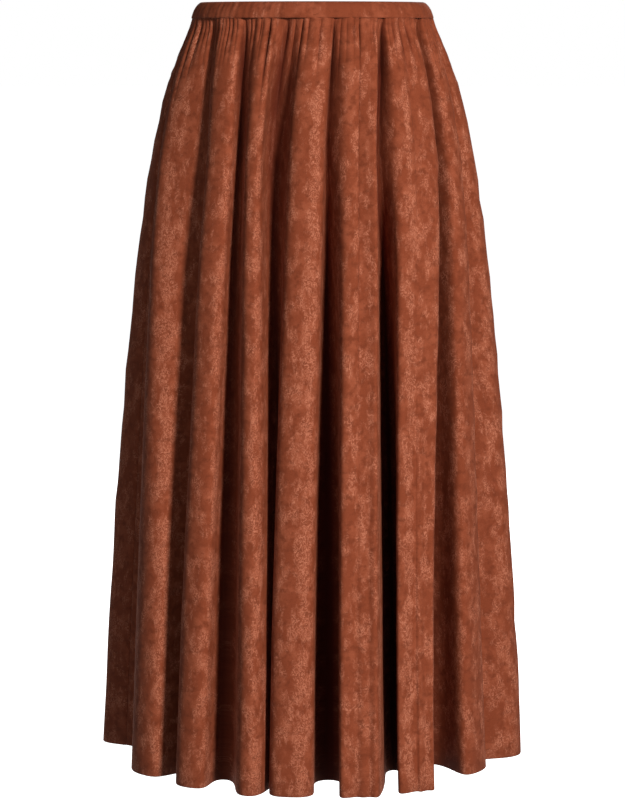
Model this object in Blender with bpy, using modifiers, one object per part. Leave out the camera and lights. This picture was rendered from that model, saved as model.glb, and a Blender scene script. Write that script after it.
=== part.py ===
"""Gathered midi skirt: an elastic waistband over a front and a back panel of soft cloth, gathered into
large flutes. It is filled out as if worn, hollow, with the front toward -Y and the waist centre at the
origin. Lengths are in metres; the angles in the tables are degrees around the waist from the front,
plus toward +X."""

import bmesh
import bpy
import numpy as np
from math import cos, hypot, pi, radians, sin

WALL = 0.0014
BAND_WALL = 0.003
GAP = 0.0003
BAND_GAP = 0.0006
BAND_HALF = 0.0085
LENGTH = 0.818
HIP = 0.150
GATHER_HEIGHT = 0.0022
COLUMNS_PER_GATHER = 4

# The mean surface of the skirt: drop below the band, half width, half depth to the front and to the back.
SECTIONS = [
    # drop,  side,   front,  back
    (0.000, 0.1312, 0.0970, 0.0980),
    (0.011, 0.1338, 0.0985, 0.1005),
    (0.035, 0.1430, 0.1030, 0.1080),
    (0.080, 0.1562, 0.1110, 0.1220),
    (0.145, 0.1672, 0.1195, 0.1380),
    (0.255, 0.1778, 0.1330, 0.1550),
    (0.390, 0.1860, 0.1480, 0.1660),
    (0.525, 0.1930, 0.1640, 0.1760),
    (0.662, 0.1998, 0.1810, 0.1850),
    (0.818, 0.2066, 0.1990, 0.1950),
]

# The band: height, half width, half depth.
BAND = [
    # z,       side,   depth
    (-0.0085, 0.1312, 0.0970),
    (-0.0080, 0.1312, 0.0970),
    (-0.0020, 0.1290, 0.0960),
    (0.0045, 0.1254, 0.0940),
    (0.0085, 0.1215, 0.0915),
]

# A row per flute, with the valley that follows it. left and right are the shoulders of the flute, fall
# and rise the two sides of the valley's floor; out and deep are how far crest and valley stand from the
# mean surface, in mm. seam is where the valley starts at the waistband.
FLUTES = [
    # name, gathers, seam,   hip: left, right, fall, rise, out, deep, hem: left, right, fall, rise, out, deep
    ("left side", 4, -83, -101, -92, -79.4, -77.9, 12, -6, -102, -93, -88.7, -78.2, 34, -20),
    ("left 1", 5, -55, -69.1, -63.3, -46, -43.5, 13, -7, -62.7, -48, -49.5, -45, 24, -24),
    ("left 2", 4, -33, -40.7, -29.2, -31.5, -27.6, 12, -14, -41.7, -29.2, -35, -25.8, 27, -24),
    ("left 3", 4, -11, -24.4, -17.5, -20.4, -10.6, 12, -26, -21, -13.5, -12.8, -10.8, 31, -34),
    ("centre left", 5, 11, -8.8, 4.8, 4.6, 6, 13, -18, -13.7, 2.2, -1.9, 13.8, 28, -48),
    ("centre right", 3, 22, 9.8, 17.1, 15, 16.6, 14, 5, 5.6, 11.7, 12.5, 14, 32, 33),
    ("right 1", 3, 35.4, 20.8, 23.2, 24, 27.5, 13, -16, 14.9, 17.8, 29.6, 43.7, 36, -64),
    ("right 2", 3, 44, 29.7, 38.8, 38.1, 42.2, 14, 11, 20.7, 28.7, 28.6, 29.7, 31, 33),
    ("right 3", 3, 64, 42, 51.2, 58.3, 59.6, 13, -28, 31.2, 33.8, 44.5, 61, 34, -56),
    ("right 4", 4, 76, 57, 69.2, 66.8, 68.3, 10, -7, 47.4, 63, 66.5, 71.3, 13, -8),
    ("right side", 4, 100, 74.3, 87, 92.9, 97.6, 12, -7, 76.3, 88, 96, 101, 30, -20),
    ("back 1", 4, 116, 102, 109, 113, 116, 12, -17, 106, 113, 117, 119, 26, -22),
    ("back 2", 5, 134, 120, 130, 133, 137, 13, -24, 123, 134, 137, 141, 29, -32),
    ("back 3", 4, 152, 141, 148, 151, 154, 12, -16, 145, 151, 154, 156, 26, -21),
    ("back 4", 4, 169, 158, 165, 168, 171, 13, -26, 160, 168, 172, 177, 30, -36),
    ("back 5", 5, 190, 175, 187, 190, 193, 13, -20, 181, 191, 194, 196, 28, -24),
    ("back 6", 4, 208, 197, 204, 207, 210, 12, -22, 200, 206, 210, 214, 27, -30),
    ("back 7", 5, 227, 214, 224, 227, 230, 13, -17, 218, 228, 231, 233, 28, -22),
    ("back 8", 4, 245, 234, 240, 243, 246, 12, -21, 236, 243, 247, 250, 25, -28),
    ("back 9", 4, 259, 249, 254, 256, 257, 11, -9, 252, 256, 257.5, 258.5, 18, -11),
]
COLUMN = {
    "hip": {"left": 3, "right": 4, "fall": 5, "rise": 6, "out": 7, "deep": 8},
    "hem": {"left": 9, "right": 10, "fall": 11, "rise": 12, "out": 13, "deep": 14},
}
LEFT_SEAM = 0
RIGHT_SEAM = 10

GATHER_ROWS = [0.0, 0.008, 0.022, 0.045, 0.075]
FLUTE_ROWS = [0.115, 0.165, 0.230, 0.315, 0.420, 0.540, 0.675, LENGTH]


def clear_scene():
    for thing in list(bpy.data.objects):
        bpy.data.objects.remove(thing, do_unlink=True)


def material(name, colour, roughness):
    made = bpy.data.materials.new(name)
    made.use_nodes = True
    shader = made.node_tree.nodes["Principled BSDF"]
    shader.inputs["Base Color"].default_value = (*colour, 1.0)
    shader.inputs["Roughness"].default_value = roughness
    return made


def section(drop):
    """Half width and the two half depths of the mean surface at a drop below the band."""
    table = np.array(SECTIONS)
    return [float(np.interp(drop, table[:, 0], table[:, k])) for k in (1, 2, 3)]


def on_ellipse(angle, out, side, front, back):
    """A point a distance out from the ellipse, whose depth differs to the front and to the back."""
    depth = front if cos(angle) > 0 else back
    x = side * sin(angle)
    y = -depth * cos(angle)
    nx = sin(angle) / side
    ny = -cos(angle) / depth
    size = hypot(nx, ny)
    return x + out * nx / size, y + out * ny / size


def flute_controls(drop):
    """The five points that shape each flute at one height: two shoulders and the crest, then the floor."""
    high = min(drop / HIP, 1.0)
    low = 1.0 - (1.0 - max(drop - HIP, 0.0) / (LENGTH - HIP)) ** 1.8
    strength = 0.12 + 0.88 * high ** 0.8
    sink = 0.12 + 0.88 * high ** 0.5
    points = []
    for k, row in enumerate(FLUTES):
        value = {}
        for name, column in COLUMN["hip"].items():
            value[name] = row[column] * (1.0 - low) + row[COLUMN["hem"][name]] * low
        before = FLUTES[k - 1]
        after_shift = row[2] - 0.5 * (row[5] + row[6])
        before_shift = before[2] - 0.5 * (before[5] + before[6])
        crest_shift = 0.5 * (after_shift + before_shift)
        easing = (1.0 - high) ** 1.5
        crest = 0.5 * (value["left"] + value["right"]) + crest_shift * easing
        half = 0.5 * (value["right"] - value["left"])
        out = value["out"] * strength / 1000
        deep = value["deep"] * sink / 1000
        points.append((crest - half, 0.88 * out))
        points.append((crest, 1.06 * out))
        points.append((crest + half, 0.88 * out))
        points.append((value["fall"] + after_shift * easing, deep))
        points.append((value["rise"] + after_shift * easing, deep))
    return points


def flute_at(share, controls):
    """Angle and offset at a share of the way around the flutes, on a smooth closed curve."""
    count = len(controls)
    place = share * 5
    first = int(place // 1)
    t = place - first
    weights = [(1 - t) ** 3, 3 * t ** 3 - 6 * t ** 2 + 4, -3 * t ** 3 + 3 * t ** 2 + 3 * t + 1, t ** 3]
    angle = 0.0
    out = 0.0
    for k, weight in enumerate(weights):
        index = first - 1 + k
        turn, index = divmod(index, count)
        angle += (controls[index][0] + 360 * turn) * weight / 6
        out += controls[index][1] * weight / 6
    return angle, out


def columns(first_seam, last_seam):
    """Each column of a panel: the share around the flutes, its step in its gather, the gather's number."""
    total = len(FLUTES)
    start = first_seam + 0.5
    end = last_seam + 0.5
    if end <= start:
        end += total
    made = []
    gather = 0
    for turn in range(2):
        for k, row in enumerate(FLUTES):
            steps = row[1] * COLUMNS_PER_GATHER
            for j in range(steps):
                share = turn * total + k + j / steps
                if start - 1e-9 <= share <= end + 1e-9:
                    made.append((share, j % COLUMNS_PER_GATHER, gather + j // COLUMNS_PER_GATHER))
            gather += row[1]
    return made


def gather_height(drop, step, number):
    """The small gathers below the band: each one a wave across its columns, of its own length."""
    length = 0.040 + 0.028 * sin(number * 2.4) ** 2
    fade = max(1.0 - drop / length, 0.0)
    rise = 0.6 + 0.4 * min(drop / 0.012, 1.0)
    return GATHER_HEIGHT * (1.0, 0.0, -1.0, 0.0)[step] * fade * rise


def panel(name, first_seam, last_seam, halved, colour):
    """A panel of cloth between the two side seams: a grid shaped by the flutes, then its wall. Halved, it
    keeps every second column below the gathers."""
    around = columns(first_seam, last_seam)
    drops = GATHER_ROWS + FLUTE_ROWS
    mesh = bpy.data.meshes.new(name)
    grid = bmesh.new()
    bmesh.ops.create_grid(grid, x_segments=len(around) - 1, y_segments=len(drops) - 1, size=1.0)
    grid.verts.ensure_lookup_table()
    ordered = sorted(grid.verts, key=lambda v: (-round(v.co.y, 5), v.co.x))
    controls = [flute_controls(drop) for drop in drops]
    last = len(around) - 1
    for row, drop in enumerate(drops):
        side, front, back = section(drop)
        line = []
        for k, (share, step, number) in enumerate(around):
            angle, out = flute_at(share, controls[row])
            if k not in (0, last):
                out += gather_height(drop, step, number)
            line.append(on_ellipse(radians(angle), out, side, front, back))
        for end, inner in ((0, 1), (last, last - 1)):
            move = 0.5 * GAP / hypot(line[inner][0] - line[end][0], line[inner][1] - line[end][1])
            line[end] = tuple(line[end][i] + (line[inner][i] - line[end][i]) * move for i in (0, 1))
        for k, (x, y) in enumerate(line):
            ordered[row * len(around) + k].co = (x, y, -BAND_HALF - BAND_GAP - drop)
    spare = []
    for edge in grid.edges:
        a, b = edge.verts
        if abs(a.co.z - b.co.z) < 1e-6:
            continue
        row, k = divmod(ordered.index(a), len(around))
        lower = min(a.co.z, b.co.z) < -BAND_HALF - BAND_GAP - GATHER_ROWS[-1] - 1e-6
        if halved and k % 2 and lower:
            spare.append(edge)
    bmesh.ops.dissolve_edges(grid, edges=spare, use_verts=True)
    grid.to_mesh(mesh)
    grid.free()
    return dress(name, mesh, WALL, colour)


def dress(name, mesh, wall, colour):
    """The object of a mesh, with its wall, its material and its collection."""
    thing = bpy.data.objects.new(name, mesh)
    group = bpy.data.collections.new(name)
    bpy.context.scene.collection.children.link(group)
    group.objects.link(thing)
    solid = thing.modifiers.new("wall", "SOLIDIFY")
    solid.thickness = wall
    solid.offset = 0.0
    solid.use_even_offset = False
    mesh.materials.append(material(name + " cloth", colour, 0.85))
    return thing


def waistband(colour):
    """The band: one strip of cloth around its elastic, leaning in toward the top."""
    count = 120
    mesh = bpy.data.meshes.new("waistband")
    ring = bmesh.new()
    loops = []
    for z, side, depth in BAND:
        loops.append([])
        for k in range(count):
            x, y = on_ellipse(2 * pi * k / count, 0.0, side, depth, depth + 0.001)
            loops[-1].append(ring.verts.new((x, y, z)))
    for below, above in zip(loops, loops[1:]):
        for k in range(count):
            after = (k + 1) % count
            ring.faces.new((below[k], below[after], above[after], above[k]))
    ring.to_mesh(mesh)
    ring.free()
    return dress("waistband", mesh, BAND_WALL, colour)


def build():
    clear_scene()
    waistband((0.235, 0.060, 0.025))
    panel("front_panel", LEFT_SEAM, RIGHT_SEAM, False, (0.235, 0.060, 0.025))
    panel("back_panel", RIGHT_SEAM, LEFT_SEAM, True, (0.225, 0.058, 0.024))


build()
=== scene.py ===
import bmesh
import bpy
import numpy as np
from math import pi, radians
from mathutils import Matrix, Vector


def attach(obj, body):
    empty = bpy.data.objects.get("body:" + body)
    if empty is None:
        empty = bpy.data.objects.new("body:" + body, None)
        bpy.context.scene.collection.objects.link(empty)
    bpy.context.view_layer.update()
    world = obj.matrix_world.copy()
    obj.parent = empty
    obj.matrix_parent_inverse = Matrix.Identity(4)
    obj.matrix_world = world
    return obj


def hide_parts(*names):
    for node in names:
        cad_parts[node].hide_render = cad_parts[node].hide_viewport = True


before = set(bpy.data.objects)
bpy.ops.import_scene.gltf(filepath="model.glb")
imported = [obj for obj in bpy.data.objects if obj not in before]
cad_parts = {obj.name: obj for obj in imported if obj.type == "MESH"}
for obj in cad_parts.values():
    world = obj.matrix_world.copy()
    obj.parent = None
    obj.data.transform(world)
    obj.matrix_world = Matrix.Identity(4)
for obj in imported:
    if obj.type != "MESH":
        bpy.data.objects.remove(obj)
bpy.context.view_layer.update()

# Camera. It stands about 3.2 m in front of the skirt at waist height and looks down a little, so that
# the hem curves up toward the sides while the waistband is seen almost level.
CAMERA_DISTANCE = 3.2
CAMERA_HEIGHT = -0.0325
CAMERA_PITCH = radians(7.113)
LONG_SIDE_PIXELS = 800
FOCAL_PIXELS = 2885
SENSOR = 36

lens = bpy.data.cameras.new("camera")
lens.sensor_width = SENSOR
lens.lens = SENSOR * FOCAL_PIXELS / LONG_SIDE_PIXELS
camera = bpy.data.objects.new("camera", lens)
camera.location = (0, -CAMERA_DISTANCE, CAMERA_HEIGHT)
camera.rotation_euler = (pi / 2 - CAMERA_PITCH, 0, 0)
bpy.context.scene.collection.objects.link(camera)
bpy.context.scene.camera = camera


# Studio. The surround is plain white to look at and gives only a little soft light. The key lamp stands
# in front, high and to the right, with a weaker lamp to the left and one behind, so the flutes are lit
# on their crests and fall into deep shade between them.
def linear(hex_colour):
    """An sRGB hex colour as linear values."""
    parts = [int(hex_colour[k:k + 2], 16) / 255 for k in (1, 3, 5)]
    return [*(c / 12.92 if c <= 0.04045 else ((c + 0.055) / 1.055) ** 2.4 for c in parts), 1.0]


SURROUND_LIGHT = 0.06
world = bpy.data.worlds.new("white surround")
world.use_nodes = True
sky = world.node_tree
looked_at = sky.nodes.new("ShaderNodeLightPath")
brightness = sky.nodes.new("ShaderNodeMapRange")
brightness.inputs["To Min"].default_value = SURROUND_LIGHT
brightness.inputs["To Max"].default_value = 1.0
sky.links.new(looked_at.outputs["Is Camera Ray"], brightness.inputs["Value"])
sky.links.new(brightness.outputs["Result"], sky.nodes["Background"].inputs["Strength"])
sky.nodes["Background"].inputs["Color"].default_value = linear("#FFFFFF")
bpy.context.scene.world = world
bpy.context.scene.view_settings.view_transform = "Standard"

LAMPS = [
    # name,      place,              size, watts
    ("key lamp", (1.5, -2.82, 0.8), 0.45, 134),
    ("fill lamp", (-1.2, -3.0, 0.3), 1.4, 15),
    ("back lamp", (0.5, 3.2, 0.9), 1.6, 90),
]
LAMP_TARGET = Vector((0, 0, -0.4))
for name, place, size, watts in LAMPS:
    light = bpy.data.lights.new(name, "AREA")
    light.size = size
    light.energy = watts
    lamp = bpy.data.objects.new(name, light)
    lamp.location = place
    lamp.rotation_euler = (LAMP_TARGET - lamp.location).to_track_quat("-Z", "Y").to_euler()
    bpy.context.scene.collection.objects.link(lamp)

# The floor glows just enough to look as white as the surround, and throws no light up on the cloth.
FLOOR_DROP = 1.05
FLOOR_HALF = 60
FLOOR_GLOW = 1.0
floor_mesh = bpy.data.meshes.new("floor")
floor_build = bmesh.new()
bmesh.ops.create_grid(floor_build, x_segments=1, y_segments=1, size=FLOOR_HALF)
bmesh.ops.translate(floor_build, vec=(0, 0, -FLOOR_DROP), verts=floor_build.verts)
floor_build.to_mesh(floor_mesh)
floor_build.free()
floor_paint = bpy.data.materials.new("matt white floor")
floor_paint.use_nodes = True
floor_shader = floor_paint.node_tree.nodes["Principled BSDF"]
floor_shader.inputs["Base Color"].default_value = linear("#F4F3F1")
floor_shader.inputs["Roughness"].default_value = 0.9
floor_shader.inputs["Emission Color"].default_value = linear("#FFFFFF")
floor_shader.inputs["Emission Strength"].default_value = FLOOR_GLOW
floor_mesh.materials.append(floor_paint)
floor = bpy.data.objects.new("floor", floor_mesh)
floor.visible_diffuse = False
bpy.context.scene.collection.objects.link(floor)

# Front panel. One flared width of brushed polyester suede, gathered along its top into the waistband.
# Its fullness falls from there in flutes, each of which is a row of the table with the valley after it.
# The bottom edge is turned up once inside and pressed.
LENGTH = 0.818
HIP = 0.150
SEAM_HEIGHT = -0.0091
CLOTH = 0.0008

# The mean surface of the skirt: drop below the band, half width, half depth to the front and the back.
SECTIONS = np.array([
    # drop,  side,   front,  back
    (-0.010, 0.1300, 0.0962, 0.0972),
    (0.000, 0.1312, 0.0970, 0.0980),
    (0.011, 0.1338, 0.0985, 0.1005),
    (0.035, 0.1430, 0.1030, 0.1080),
    (0.080, 0.1562, 0.1110, 0.1220),
    (0.145, 0.1672, 0.1195, 0.1380),
    (0.255, 0.1778, 0.1330, 0.1550),
    (0.390, 0.1860, 0.1480, 0.1660),
    (0.525, 0.1930, 0.1640, 0.1760),
    (0.662, 0.1998, 0.1810, 0.1850),
    (0.818, 0.2066, 0.1990, 0.1950),
    (0.860, 0.2084, 0.2040, 0.1976),
])
SECTION_EASE = 0.045
SECTION_SAMPLES = 7

# A row per flute. left and right are its shoulders, fall and rise the two sides of the valley's floor
# after it, in degrees from the front. out and deep are how far crest and valley stand from the mean
# surface, in mm. seam is where the valley starts at the waistband.
FLUTES = [
    # name, seam, hip: left, right, fall, rise, out, deep, hem: left, right, fall, rise, out, deep
    ("left side", -83, -101, -92, -79.4, -77.9, 12, -6, -102, -93, -88.7, -78.2, 34, -20),
    ("left 1", -55, -69.1, -63.3, -46, -43.5, 13, -7, -62.7, -48, -49.5, -45, 24, -24),
    ("left 2", -33, -40.7, -29.2, -31.5, -27.6, 12, -14, -41.7, -29.2, -35, -25.8, 27, -24),
    ("left 3", -11, -24.4, -17.5, -20.4, -10.6, 12, -26, -21, -13.5, -12.8, -10.8, 31, -34),
    ("centre left", 11, -8.8, 4.8, 4.6, 6, 13, -18, -13.7, 2.2, -1.9, 13.8, 28, -48),
    ("centre right", 22, 9.8, 17.1, 15, 16.6, 14, 5, 5.6, 11.7, 12.5, 14, 32, 33),
    ("right 1", 35.4, 20.8, 23.2, 24, 27.5, 13, -16, 14.9, 17.8, 29.6, 43.7, 36, -64),
    ("right 2", 44, 29.7, 38.8, 38.1, 42.2, 14, 11, 20.7, 28.7, 28.6, 29.7, 31, 33),
    ("right 3", 64, 42, 51.2, 58.3, 59.6, 13, -28, 31.2, 33.8, 44.5, 61, 34, -56),
    ("right 4", 76, 57, 69.2, 66.8, 68.3, 10, -7, 47.4, 63, 66.5, 71.3, 13, -8),
    ("right side", 100, 74.3, 87, 92.9, 97.6, 12, -7, 76.3, 88, 96, 101, 30, -20),
    ("back 1", 116, 102, 109, 113, 116, 12, -17, 106, 113, 117, 119, 26, -22),
    ("back 2", 134, 120, 130, 133, 137, 13, -24, 123, 134, 137, 141, 29, -32),
    ("back 3", 152, 141, 148, 151, 154, 12, -16, 145, 151, 154, 156, 26, -21),
    ("back 4", 169, 158, 165, 168, 171, 13, -26, 160, 168, 172, 177, 30, -36),
    ("back 5", 190, 175, 187, 190, 193, 13, -20, 181, 191, 194, 196, 28, -24),
    ("back 6", 208, 197, 204, 207, 210, 12, -22, 200, 206, 210, 214, 27, -30),
    ("back 7", 227, 214, 224, 227, 230, 13, -17, 218, 228, 231, 233, 28, -22),
    ("back 8", 245, 234, 240, 243, 246, 12, -21, 236, 243, 247, 250, 25, -28),
    ("back 9", 259, 249, 254, 256, 257, 11, -9, 252, 256, 257.5, 258.5, 18, -11),
]

# The side seams, counted in flutes round the skirt from the first row's left shoulder.
LEFT_SEAM = 0.5
RIGHT_SEAM = 10.5
POINTS_PER_FLUTE = 5


def section(drop):
    """Half width, front depth and back depth at a drop below the band, eased between the rows."""
    reach = 0.5 * min(max(drop, 0.0), SECTION_EASE)
    places = np.linspace(drop - reach, drop + reach, SECTION_SAMPLES)
    return [float(np.interp(places, SECTIONS[:, 0], SECTIONS[:, k]).mean()) for k in (1, 2, 3)]


# Crests and valleys grow from a small share of their size at the seam to all of it at the hip. The
# valleys drift from their places at the seam to those at the hip, and from there to those at the hem.
CREST_AT_SEAM = 0.12
CREST_GROWTH = 0.8
VALLEY_AT_SEAM = 0.08
VALLEY_GROWTH = 0.62
SEAM_DRIFT = 1.5
HEM_DRIFT = 1.8
SHOULDER = 0.88
CROWN = 1.06


def seam_shift(flute):
    """How many degrees a flute's valley starts to the side of its place at the hip."""
    return flute[1] - 0.5 * (flute[4] + flute[5])


def flute_points(drop):
    """The five points that shape each flute at one height: shoulder, crest, shoulder, then the floor."""
    high = min(max(drop, 0.0) / HIP, 1.0)
    low = 1 - (1 - min(max(drop - HIP, 0.0) / (LENGTH - HIP), 1.0)) ** HEM_DRIFT
    crest_share = CREST_AT_SEAM + (1 - CREST_AT_SEAM) * high ** CREST_GROWTH
    valley_share = VALLEY_AT_SEAM + (1 - VALLEY_AT_SEAM) * high ** VALLEY_GROWTH
    near_seam = (1 - high) ** SEAM_DRIFT
    points = []
    for k, flute in enumerate(FLUTES):
        hip, hem = np.array(flute[2:8]), np.array(flute[8:])
        left, right, fall, rise, out, deep = hip * (1 - low) + hem * low
        shift, shift_before = seam_shift(flute), seam_shift(FLUTES[k - 1])
        crest = 0.5 * (left + right) + 0.5 * (shift + shift_before) * near_seam
        half = 0.5 * (right - left)
        out, deep = out * crest_share / 1000, deep * valley_share / 1000
        points += [(crest - half, SHOULDER * out), (crest, CROWN * out), (crest + half, SHOULDER * out)]
        points += [(fall + shift * near_seam, deep), (rise + shift * near_seam, deep)]
    return np.array(points)


def cross_section(shares, drop):
    """The cloth's run at one height, its normals and the way straight out of the skirt.

    The run is a cubic B-spline round the flutes' points, laid on the mean surface."""
    points = flute_points(drop)
    place = shares * POINTS_PER_FLUTE
    first = np.floor(place).astype(int)
    t = place - first
    weights = [(1 - t) ** 3, 3 * t ** 3 - 6 * t ** 2 + 4, -3 * t ** 3 + 3 * t ** 2 + 3 * t + 1, t ** 3]
    angle, out = np.zeros(len(shares)), np.zeros(len(shares))
    for k, weight in enumerate(weights):
        turn, index = np.divmod(first - 1 + k, len(points))
        angle += (points[index, 0] + 360 * turn) * weight / 6
        out += points[index, 1] * weight / 6
    angle = np.radians(angle)
    side, front, back = section(drop)
    depth = np.where(np.cos(angle) > 0, front, back)
    line = np.stack([side * np.sin(angle), -depth * np.cos(angle)])
    outward = np.stack([np.sin(angle) / side, -np.cos(angle) / depth])
    outward /= np.hypot(*outward)
    line += out * outward
    along = np.gradient(line, axis=1)
    normals = np.stack([along[1], -along[0]]) / np.hypot(*along)
    return line, normals, outward


def cloth_run(line):
    """How far along the cloth each point of a run lies."""
    return np.append(0, np.cumsum(np.hypot(*np.diff(line, axis=1))))


# The creases that can be told apart below the band and down the flutes: angle at the waistband in
# degrees, depth and width in mm, and how far down it reaches in mm.
FRONT_CREASES = [
    # angle, depth, width, reach
    (-78.0, 3.0, 2.4, 90),
    (-65.0, 3.0, 2.2, 60),
    (-59.6, 3.4, 2.2, 75),
    (-55.0, 4.5, 2.2, 150),
    (-45.0, 3.0, 2.2, 70),
    (-40.9, 2.8, 2.2, 55),
    (-37.9, 3.0, 2.2, 80),
    (-34.2, 9.0, 3.0, 170),
    (-28.4, 2.8, 2.0, 60),
    (-23.2, 2.6, 2.0, 70),
    (-19.7, 4.0, 2.4, 130),
    (-12.3, 8.0, 3.0, 170),
    (-4.4, 2.8, 2.2, 50),
    (-1.2, 2.6, 2.0, 60),
    (11.0, 6.0, 3.0, 150),
    (16.3, 3.0, 2.2, 70),
    (22.0, 3.6, 2.0, 150),
    (27.9, 2.8, 2.2, 90),
    (36.5, 9.0, 2.6, 170),
    (40.2, 4.0, 1.8, 45),
    (44.0, 5.0, 1.8, 130),
    (48.4, 4.5, 1.8, 55),
    (53.0, 4.5, 1.8, 65),
    (57.6, 4.0, 1.8, 42),
    (64.0, 2.6, 2.2, 150),
    (69.0, 3.0, 2.2, 80),
]

# A crease starts shallow at the seam, is at its deepest a few times its depth further down, and widens
# as it runs out. The ripples start flat at the seam. All in mm.
CREASE_AT_SEAM = 0.3
CREASE_RUN_IN = 2.5
CREASE_WIDENING = 70
RIPPLE_RUN_IN = 80


def crease_depth(shares, arc, drop, creases, at_seam, waves):
    """How far the creases and the ripples push the cloth in at one height, in metres."""
    pushed = np.zeros(len(shares))
    below = max(drop, 0.0) * 1000
    for angle, depth, width, reach in creases:
        centre = np.interp(np.interp(angle, at_seam, shares), shares, arc)
        spread = width * (1 + below / CREASE_WIDENING) / 1000
        start = CREASE_AT_SEAM + (1 - CREASE_AT_SEAM) * min(below / (CREASE_RUN_IN * depth), 1.0)
        fade = max(1 - below / reach, 0.0)
        pushed += depth / 1000 * start * fade * np.exp(-np.abs(arc - centre) / spread)
    for wave, phase, tilt, height in waves:
        run_in = min(below / RIPPLE_RUN_IN, 1.0)
        pushed += height * np.sin(2 * pi * arc / wave + phase + tilt * drop) * run_in
    return pushed


# Least and most of a small gather's depth, width and reach in mm, and the degrees to the next one.
GATHER_DEPTHS = (1.92, 6.72)
GATHER_WIDTHS = (1.2, 1.9)
GATHER_REACHES = (28, 105)
GATHER_STEPS = (2.58, 6.02)


def small_gathers(first, last, seed):
    """The small uneven gathers that the elastic draws up, one every few millimetres of the waist."""
    dice = np.random.default_rng(seed)
    made = []
    angle = first
    while angle < last:
        depth, width = dice.uniform(*GATHER_DEPTHS), dice.uniform(*GATHER_WIDTHS)
        made.append((angle, depth, width, dice.uniform(*GATHER_REACHES)))
        angle += dice.uniform(*GATHER_STEPS)
    return made


RIPPLE_WAVES = (0.027, 0.034, 0.046, 0.061, 0.083)
RIPPLE_TILTS = (-9, 9)
RIPPLE_HEIGHTS = (0.00315, 0.00585)


def ripples(seed):
    """Long shallow waves that keep the flutes from being perfectly smooth, each higher if longer."""
    dice = np.random.default_rng(seed)
    made = []
    for wave in RIPPLE_WAVES:
        phase, tilt = dice.uniform(0, 2 * pi), dice.uniform(*RIPPLE_TILTS)
        made.append((wave, phase, tilt, wave * dice.uniform(*RIPPLE_HEIGHTS)))
    return made


FOLD_SIGHT = 90
NEAREST_WALL = 0.0015


def openness(line, normals):
    """How open each point of a run is: 1 where nothing stands beside it, near 0 down a fold."""
    columns = np.arange(line.shape[1])
    sight = np.zeros(len(columns))
    for side in (-1, 1):
        highest = np.zeros(len(columns))
        for step in range(1, FOLD_SIGHT):
            other = np.clip(columns + side * step, 0, len(columns) - 1)
            reach = line[:, other] - line
            up = (reach * normals).sum(axis=0)
            away = np.abs(reach[0] * -normals[1] + reach[1] * normals[0])
            angle = np.where(np.hypot(up, away) > NEAREST_WALL, np.arctan2(up, away), 0)
            highest = np.maximum(highest, angle)
        sight += highest
    return 1 - sight / pi


# The nap's pattern runs straight down the crests, as the grain does, and makes up the difference in
# the valleys, between these shares of the way from one crest to the next.
CREST_SHARE = 0.2
SLIP_START = 0.3
SLIP_END = 0.7


def across_cloth(shares, arc, cut_arc):
    """Where each point of a run lies across the flat cloth."""
    crests = np.arange(np.ceil(shares[0] - CREST_SHARE), shares[-1] - CREST_SHARE) + CREST_SHARE
    shift = np.interp(crests, shares, cut_arc) - np.interp(crests, shares, arc)
    place = shares - crests[0]
    before = np.clip(np.floor(place).astype(int), 0, len(crests) - 2)
    change = np.clip((place - before - SLIP_START) / (SLIP_END - SLIP_START), 0, 1)
    change = change ** 2 * (3 - 2 * change)
    return arc + shift[before] * (1 - change) + shift[before + 1] * change


# Where a flute's right shoulder is rubbed and carries a painted highlight of light flecks, as on the
# side the key lamp lights, as shares of the flute, how strongly, and how much less the left one is.
RUBBED_AND_HIGHLIT_SHARES = (0.27, 0.42)
RUBBED_AND_HIGHLIT_STRENGTHS = (0.3, 1.2)
RUBBED_AND_HIGHLIT_SPREAD = 0.07
LEFT_RUBBED_AND_HIGHLIT = 0.6


def rubbed_and_highlit_shoulders(shares, seed):
    """How much rubbed nap and painted highlight each point of a run has: most along each flute's right
    shoulder.
    """
    dice = np.random.default_rng(seed)
    place = dice.uniform(*RUBBED_AND_HIGHLIT_SHARES, len(FLUTES) + 1)
    strength = dice.uniform(*RUBBED_AND_HIGHLIT_STRENGTHS, len(FLUTES) + 1)
    flute = np.floor(shares).astype(int)
    right = np.exp(-((shares - flute - place[flute]) / RUBBED_AND_HIGHLIT_SPREAD) ** 2) * strength[flute]
    left = np.exp(-((shares - np.round(shares)) / RUBBED_AND_HIGHLIT_SPREAD) ** 2) * strength[::-1][flute]
    return right + LEFT_RUBBED_AND_HIGHLIT * left


# The panel's columns are spaced evenly along the cloth, as near as can be at all these drops. The waist
# is counted twice, because the small gathers there need the most.
COLUMNS = 740
SPACING_DROPS = (0.0, 0.0, 0.3, LENGTH)
SPACING_SAMPLES = 2000


def panel_columns(start, end):
    """Where the panel's columns stand, in flutes round the skirt."""
    even = np.linspace(start, end, SPACING_SAMPLES)
    spacing = np.zeros(len(even))
    for drop in SPACING_DROPS:
        run = cloth_run(cross_section(even, drop)[0])
        spacing += run / run[-1]
    return np.interp(np.linspace(0, spacing[-1], COLUMNS), spacing, even)


UPPER_ROWS = 20
UPPER_REACH = 0.070
LOWER_ROWS = 36
TOP_TUCK = 0.004
FOLD_RADIUS = 0.00095
HEM_DEPTH = 0.020
HEM_ROWS = (0.25, 0.6, 1.0)


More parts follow.
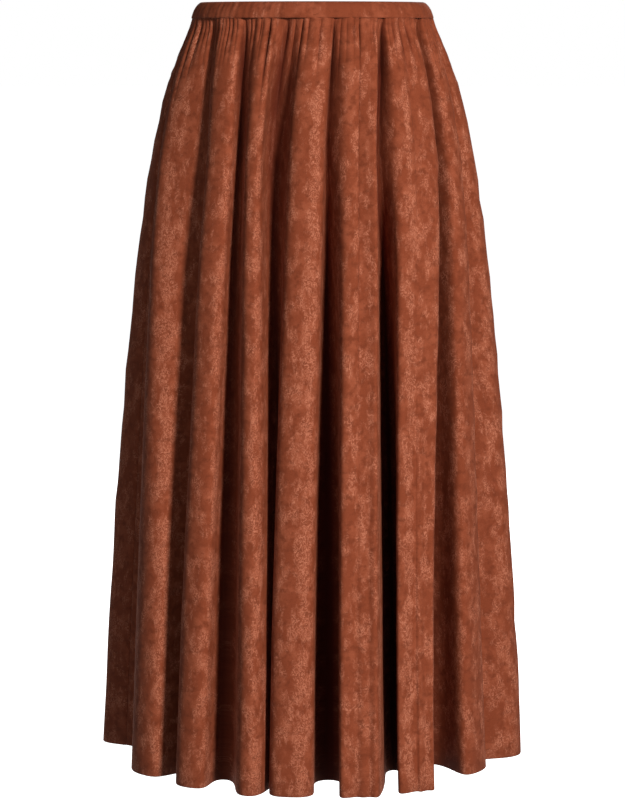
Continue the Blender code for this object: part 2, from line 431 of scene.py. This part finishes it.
def panel_rows():
    """The panel's rows, down the outside, round the hem's fold and up behind it.

    Each is the drop whose run it follows, how far inside that run it lies, and its own drop."""
    flat = [-TOP_TUCK, -TOP_TUCK / 2]
    flat += list(np.linspace(0, UPPER_REACH, UPPER_ROWS, endpoint=False))
    flat += list(np.linspace(UPPER_REACH, LENGTH - FOLD_RADIUS, LOWER_ROWS))
    rows = [(drop, 0.0, drop) for drop in flat]
    for turn in (0.25 * pi, 0.5 * pi, 0.75 * pi, pi):
        inset = FOLD_RADIUS * (1 - np.cos(turn))
        rows.append((flat[-1], inset, LENGTH - FOLD_RADIUS * (1 - np.sin(turn))))
    for rise in HEM_ROWS:
        drop = LENGTH - HEM_DEPTH * rise
        rows.append((drop, 2 * FOLD_RADIUS, drop))
    return rows


def nap_and_painted_light_values(mesh, open_for_painted_shade, rubbed_and_highlight):
    """Gives each point its openness, for the painted fold shade, and its rubbed nap and painted
    highlight.
    """
    for name, values in (("open_for_painted_shade", open_for_painted_shade), ("rubbed_and_highlight", rubbed_and_highlight)):
        mesh.attributes.new(name, "FLOAT", "POINT").data.foreach_set("value", values)


# The side seams dip a little and have no crease on them. The first gather stands two degrees away.
SEAM_FLAT = 0.012
SEAM_DIP = 0.0009
SEAM_DIP_WIDTH = 0.0022
FIRST_GATHER = 2

# The drop at which the flat cloth's pattern is laid out, and how the nap and the painted shade change
# below
# the band: the nap is less rubbed there, each crease gets painted shade, and the painted valley shade is
# weaker.
CUT_DROP = 0.42
FRESH_NAP = 0.7
FRESH_REACH = 0.12
CREASE_SHADE = 0.5
SHADED_DEPTH = 0.004
FOLD_SHADE_AT_SEAM = 0.45
FOLD_SHADE_REACH = 0.045


def cloth_panel(name, start, end, creases, seed):
    """One panel between the side seams, as a grid of cloth with its bottom edge turned up inside."""
    shares = panel_columns(start, end)
    rows = panel_rows()
    line = cross_section(shares, 0.0)[0]
    seam_side, seam_depth = section(0.0)[:2]
    at_seam = np.degrees(np.unwrap(np.arctan2(line[0] / seam_side, -line[1] / seam_depth)))
    creases = creases + small_gathers(at_seam[0] + FIRST_GATHER, at_seam[-1] - FIRST_GATHER, seed)
    waves = ripples(seed + 1)
    shoulders = rubbed_and_highlit_shoulders(shares, seed + 2)
    cut_arc = cloth_run(cross_section(shares, CUT_DROP)[0])

    points = np.zeros((len(rows), COLUMNS, 3))
    pattern = np.zeros((len(rows), COLUMNS, 2))
    open_for_painted_shade = np.zeros((len(rows), COLUMNS))
    rubbed_and_highlight = np.zeros((len(rows), COLUMNS))
    travelled = 0.0
    for k, (drop, inset, height) in enumerate(rows):
        line, normals, outward = cross_section(shares, drop)
        arc = cloth_run(line)
        edge = np.minimum(arc, arc[-1] - arc)
        pushed = crease_depth(shares, arc, drop, creases, at_seam, waves)
        pushed *= np.clip(edge / SEAM_FLAT, 0, 1)
        seam_dip = SEAM_DIP * np.exp(-(edge / SEAM_DIP_WIDTH) ** 2)
        line = line - outward * pushed - normals * (seam_dip + inset)
        points[k, :, 0], points[k, :, 1] = line
        points[k, :, 2] = SEAM_HEIGHT - height
        if k:
            travelled += np.linalg.norm(points[k, COLUMNS // 2] - points[k - 1, COLUMNS // 2])
        pattern[k, :, 0] = across_cloth(shares, arc, cut_arc)
        pattern[k, :, 1] = -travelled
        below = max(drop, 0.0)
        rubbed_and_highlight[k] = shoulders - FRESH_NAP * np.exp(-below / FRESH_REACH)
        # Painted shade: creases and folds darken the cloth's colour through this value, less so right
        # below the band.
        crease_shade = CREASE_SHADE * np.clip(pushed / SHADED_DEPTH, 0, 1)
        fold_shade = np.interp(below, (0.0, FOLD_SHADE_REACH), (FOLD_SHADE_AT_SEAM, 1.0))
        open_for_painted_shade[k] = (1 - fold_shade * (1 - openness(line, normals))) * (1 - crease_shade)

    build = bmesh.new()
    bmesh.ops.create_grid(build, x_segments=COLUMNS - 1, y_segments=len(rows) - 1, size=1)
    build.verts.ensure_lookup_table()
    places = np.array([v.co for v in build.verts])
    column = np.rint((places[:, 0] + 1) / 2 * (COLUMNS - 1)).astype(int)
    row = np.rint((1 - places[:, 1]) / 2 * (len(rows) - 1)).astype(int)
    for vert in build.verts:
        vert.co = points[row[vert.index], column[vert.index]]
    layer = build.loops.layers.uv.new("cloth")
    for face in build.faces:
        face.smooth = True
        for corner in face.loops:
            corner[layer].uv = pattern[row[corner.vert.index], column[corner.vert.index]]
    mesh = bpy.data.meshes.new(name)
    build.to_mesh(mesh)
    build.free()
    nap_and_painted_light_values(mesh, open_for_painted_shade[row, column], rubbed_and_highlight[row, column])
    panel = bpy.data.objects.new(name, mesh)
    bpy.context.scene.collection.objects.link(panel)
    wall = panel.modifiers.new("cloth thickness", "SOLIDIFY")
    wall.thickness = CLOTH
    wall.offset = 0
    return panel


def node(tree, kind, inputs=None, **settings):
    """Adds a shader node with its settings, the values of its inputs and what links into them."""
    made = tree.nodes.new(kind)
    for setting, value in settings.items():
        setattr(made, setting, value)
    for place, value in (inputs or {}).items():
        if isinstance(value, bpy.types.NodeSocket):
            tree.links.new(value, made.inputs[place])
        else:
            made.inputs[place].default_value = value
    return made


# Brushed polyester suede, a warp knit with a short nap. Where the nap is crushed it turns into fine
# light flecks, which gather in streaks down the cloth; more lie along each flute's right shoulder,
# partly as a painted highlight. Down in folds and creases the colour is mixed towards a dark brown as
# painted shade.
BASE_NAP = "#7C3A22"
LIFTED_NAP = "#8B462D"
SOFT_DARK_NAP = "#6E321C"
FLECK_NAP = "#AE684E"
PAINTED_FOLD_SHADE = "#401004"
NAP_GLOW = "#E08A5C"

# Sizes on the cloth. One patch of a noise is a little narrower than the noise's unit. The real nap is
# finer than the grain, which is drawn just coarse enough to show.
HAIR_WIDE = 0.0042
HAIR_TALL = 0.0056
STREAK_WIDE = 0.010
STREAK_TALL = 0.022
CLOUD = 0.016
MOTTLE = 0.007
NAP_GRAIN = 0.0011
HAIR_PATCH = 0.9
PATCH = 0.8
RELIEF = 0.0006

# Where each pattern of the nap starts and where it is at its strongest, as values of its noise. A hair
# runs where its noise crosses the middle.
CRUSHED = (0.48, 0.60)
HAIR_MIDDLE = 0.5
BESIDE_HAIR = 0.048
ON_HAIR = 0.015
BETWEEN_HAIRS = 0.11
LIFTED = (0.47, 0.62)
SOFT_DARK = (0.50, 0.34)
MOST_SOFT_DARK = 0.9
GRAIN = (0.3, 0.7)
GRAIN_SHADE = (0.90, 1.10)
# The painted shade in folds fades out over these values of openness.
OPEN = (0.14, 0.52)
# The rubbed nap and the painted highlight add this much to the flecks' noise.
RUBBED_AND_HIGHLIT_PULL = 0.10

suede = bpy.data.materials.new("brushed polyester suede")
suede.use_nodes = True
tree = suede.node_tree
shader = tree.nodes["Principled BSDF"]
cloth_map = node(tree, "ShaderNodeUVMap", uv_map="cloth")
rubbed_and_highlight = node(tree, "ShaderNodeAttribute", attribute_name="rubbed_and_highlight")
hair_place = node(
    tree, "ShaderNodeMapping",
    {"Vector": cloth_map.outputs["UV"], "Scale": (1 / HAIR_WIDE, 1 / HAIR_TALL, 1)},
)
streak_place = node(
    tree, "ShaderNodeMapping",
    {"Vector": cloth_map.outputs["UV"], "Scale": (1 / STREAK_WIDE, 1 / STREAK_TALL, 1)},
)
hairs = node(
    tree, "ShaderNodeTexNoise",
    {"Vector": hair_place.outputs["Vector"], "Scale": HAIR_PATCH, "Detail": 3.0, "Roughness": 0.6,
     "Distortion": 1.4},
)
from_hair = node(
    tree, "ShaderNodeMath", {0: hairs.outputs["Fac"], 1: HAIR_MIDDLE}, operation="SUBTRACT",
)
off_hair = node(tree, "ShaderNodeMath", {0: from_hair.outputs["Value"]}, operation="ABSOLUTE")
streaks = node(
    tree, "ShaderNodeTexNoise",
    {"Vector": streak_place.outputs["Vector"], "Scale": PATCH, "Detail": 4.0, "Roughness": 0.6},
)
clouds = node(
    tree, "ShaderNodeTexNoise",
    {"Vector": cloth_map.outputs["UV"], "Scale": PATCH / CLOUD, "Detail": 4.0, "Roughness": 0.6},
)
mottle = node(
    tree, "ShaderNodeTexNoise",
    {"Vector": cloth_map.outputs["UV"], "Scale": PATCH / MOTTLE, "Detail": 3.0, "Roughness": 0.6},
)
grain = node(
    tree, "ShaderNodeTexNoise",
    {"Vector": cloth_map.outputs["UV"], "Scale": 1 / NAP_GRAIN, "Detail": 2.0, "Roughness": 0.6},
)
# The rubbed nap and the painted highlight on the right shoulders add light flecks here.
crushed = node(
    tree, "ShaderNodeMath",
    {0: rubbed_and_highlight.outputs["Fac"], 1: RUBBED_AND_HIGHLIT_PULL, 2: streaks.outputs["Fac"]}, operation="MULTIPLY_ADD",
)
crushed_share = node(
    tree, "ShaderNodeMapRange",
    {"Value": crushed.outputs["Value"], "From Min": CRUSHED[0], "From Max": CRUSHED[1]},
)
hair_share = node(
    tree, "ShaderNodeMapRange",
    {"Value": off_hair.outputs["Value"], "From Min": BESIDE_HAIR, "From Max": ON_HAIR,
     "To Min": BETWEEN_HAIRS},
)
fleck_share = node(
    tree, "ShaderNodeMath",
    {0: crushed_share.outputs["Result"], 1: hair_share.outputs["Result"]}, operation="MULTIPLY",
)
lifted_share = node(
    tree, "ShaderNodeMapRange",
    {"Value": clouds.outputs["Fac"], "From Min": LIFTED[0], "From Max": LIFTED[1]},
)
soft_dark_share = node(
    tree, "ShaderNodeMapRange",
    {"Value": mottle.outputs["Fac"], "From Min": SOFT_DARK[0], "From Max": SOFT_DARK[1],
     "To Max": MOST_SOFT_DARK},
)
lifted = node(
    tree, "ShaderNodeMix",
    {0: lifted_share.outputs["Result"], 6: linear(BASE_NAP), 7: linear(LIFTED_NAP)},
    data_type="RGBA",
)
mottled = node(
    tree, "ShaderNodeMix",
    {0: soft_dark_share.outputs["Result"], 6: lifted.outputs[2], 7: linear(SOFT_DARK_NAP)},
    data_type="RGBA",
)
flecked = node(
    tree, "ShaderNodeMix",
    {0: fleck_share.outputs["Value"], 6: mottled.outputs[2], 7: linear(FLECK_NAP)},
    data_type="RGBA",
)
grain_value = node(
    tree, "ShaderNodeMapRange",
    {"Value": grain.outputs["Fac"], "From Min": GRAIN[0], "From Max": GRAIN[1],
     "To Min": GRAIN_SHADE[0], "To Max": GRAIN_SHADE[1]},
)
nap_colour = node(
    tree, "ShaderNodeHueSaturation",
    {"Value": grain_value.outputs["Result"], "Color": flecked.outputs[2]},
)
# Painted shade: where the cloth lies down in a fold or crease, its colour is mixed towards a dark brown.
open_for_painted_shade = node(tree, "ShaderNodeAttribute", attribute_name="open_for_painted_shade")
in_the_open = node(
    tree, "ShaderNodeMapRange",
    {"Value": open_for_painted_shade.outputs["Fac"], "From Min": OPEN[0], "From Max": OPEN[1]},
)
cloth_colour = node(
    tree, "ShaderNodeMix",
    {0: in_the_open.outputs["Result"], 6: linear(PAINTED_FOLD_SHADE), 7: nap_colour.outputs["Color"]},
    data_type="RGBA",
)
nap_relief = node(
    tree, "ShaderNodeMath", {0: hairs.outputs["Fac"], 1: grain.outputs["Fac"]}, operation="ADD",
)
nap_bump = node(
    tree, "ShaderNodeBump",
    {"Height": nap_relief.outputs["Value"], "Strength": 0.25, "Distance": RELIEF},
)
tree.links.new(cloth_colour.outputs[2], shader.inputs["Base Color"])
tree.links.new(nap_bump.outputs["Normal"], shader.inputs["Normal"])
shader.inputs["Roughness"].default_value = 0.9
shader.inputs["IOR"].default_value = 1.45
shader.inputs["Specular IOR Level"].default_value = 0.12
shader.inputs["Sheen Weight"].default_value = 0.06
shader.inputs["Sheen Roughness"].default_value = 0.45
shader.inputs["Sheen Tint"].default_value = linear(NAP_GLOW)

front_cloth = cloth_panel("front_cloth", LEFT_SEAM, RIGHT_SEAM, FRONT_CREASES, 11)
front_cloth.data.materials.append(suede)
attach(front_cloth, "root")
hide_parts("front_panel")

# Back panel. The same flared width again, cut from the same suede and sewn to the front down both sides,
# with the seams pressed open. It falls over the seat and is a little narrower than the front.
BACK_CREASES = [
    # angle, depth, width, reach
    (104.0, 2.0, 3.0, 90),
    (126.0, 2.2, 2.8, 110),
    (143.0, 1.8, 2.6, 70),
    (161.0, 2.2, 2.8, 120),
    (178.0, 1.8, 2.8, 80),
    (184.0, 2.0, 2.6, 60),
    (199.0, 1.8, 2.8, 95),
    (217.0, 2.2, 2.8, 75),
    (236.0, 2.0, 3.0, 110),
    (252.0, 1.8, 3.0, 80),
]
back_cloth = cloth_panel("back_cloth", RIGHT_SEAM, len(FLUTES) + LEFT_SEAM, BACK_CREASES, 23)
back_cloth.data.materials.append(suede)
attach(back_cloth, "root")
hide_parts("back_panel")

# Waistband. A straight strip of the same suede folded lengthwise over a flat elastic and sewn to the
# gathered top of the panels. The elastic draws it in, so it is faintly puckered and leans in at the top.
BAND_ROWS = [
    # height, half width, half depth, out from the middle of the band
    (-0.0090, 0.1312, 0.0972, 0.0004),
    (-0.0092, 0.1312, 0.0972, 0.0012),
    (-0.0086, 0.1312, 0.0972, 0.0018),
    (-0.0070, 0.1308, 0.0970, 0.0019),
    (-0.0035, 0.1298, 0.0965, 0.0018),
    (0.0000, 0.1284, 0.0957, 0.0018),
    (0.0035, 0.1264, 0.0946, 0.0017),
    (0.0065, 0.1241, 0.0930, 0.0014),
    (0.0082, 0.1224, 0.0918, 0.0008),
    (0.0086, 0.1217, 0.0914, 0.0000),
    (0.0082, 0.1224, 0.0918, -0.0008),
    (0.0065, 0.1241, 0.0930, -0.0013),
    (0.0000, 0.1284, 0.0957, -0.0015),
    (-0.0070, 0.1308, 0.0970, -0.0015),
    (-0.0086, 0.1312, 0.0972, -0.0014),
    (-0.0092, 0.1312, 0.0972, -0.0008),
    (-0.0090, 0.1312, 0.0972, 0.0004),
]
BAND_COLUMNS = 721
BAND_ROUND = 0.73
BAND_STRIP = 0.04
BAND_PATTERN = 0.5
BAND_RUBBED = -0.8

# The puckers are waves round the band, summed: how many, how often each goes round, its size, and what
# the sum is divided by. They are cut off where they stand out, and weaker on the inside.
PUCKER_WAVES = 14
PUCKERS_ROUND = (30, 120)
PUCKER_SIZES = (0.3, 1)
PUCKER_SUM = 5
PUCKER_DEPTH = 0.00045
PUCKER_OUT = 0.4
PUCKER_INSIDE = 0.4

dice = np.random.default_rng(5)
puckers = []
for k in range(PUCKER_WAVES):
    count, phase = dice.integers(*PUCKERS_ROUND), dice.uniform(0, 2 * pi)
    puckers.append((count, phase, dice.uniform(*PUCKER_SIZES)))
build = bmesh.new()
bmesh.ops.create_grid(build, x_segments=BAND_COLUMNS - 1, y_segments=len(BAND_ROWS) - 1, size=1)
layer = build.loops.layers.uv.new("cloth")
for face in build.faces:
    face.smooth = True
    for corner in face.loops:
        across, up = corner.vert.co.xy
        corner[layer].uv = (across * BAND_ROUND / 2, up * BAND_STRIP / 2 + BAND_PATTERN)
for vert in build.verts:
    around = pi * vert.co.x
    height, side, depth, out = BAND_ROWS[round((1 + vert.co.y) / 2 * (len(BAND_ROWS) - 1))]
    pucker = sum(size * np.sin(count * around + phase) for count, phase, size in puckers) / PUCKER_SUM
    out -= PUCKER_DEPTH * max(pucker, -PUCKER_OUT) * (1 if out > 0 else PUCKER_INSIDE)
    outward = np.array([np.sin(around) / side, -np.cos(around) / depth])
    outward /= np.hypot(*outward)
    line = np.array([side * np.sin(around), -depth * np.cos(around)]) + out * outward
    vert.co = (*line, height)
bmesh.ops.remove_doubles(build, verts=build.verts, dist=1e-6)
bmesh.ops.recalc_face_normals(build, faces=build.faces)
band_mesh = bpy.data.meshes.new("elastic_waistband")
build.to_mesh(band_mesh)
build.free()
band_points = len(band_mesh.vertices)
nap_and_painted_light_values(band_mesh, np.ones(band_points), np.full(band_points, BAND_RUBBED))
waistband = bpy.data.objects.new("elastic_waistband", band_mesh)
bpy.context.scene.collection.objects.link(waistband)
waistband.data.materials.append(suede)
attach(waistband, "root")
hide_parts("waistband")
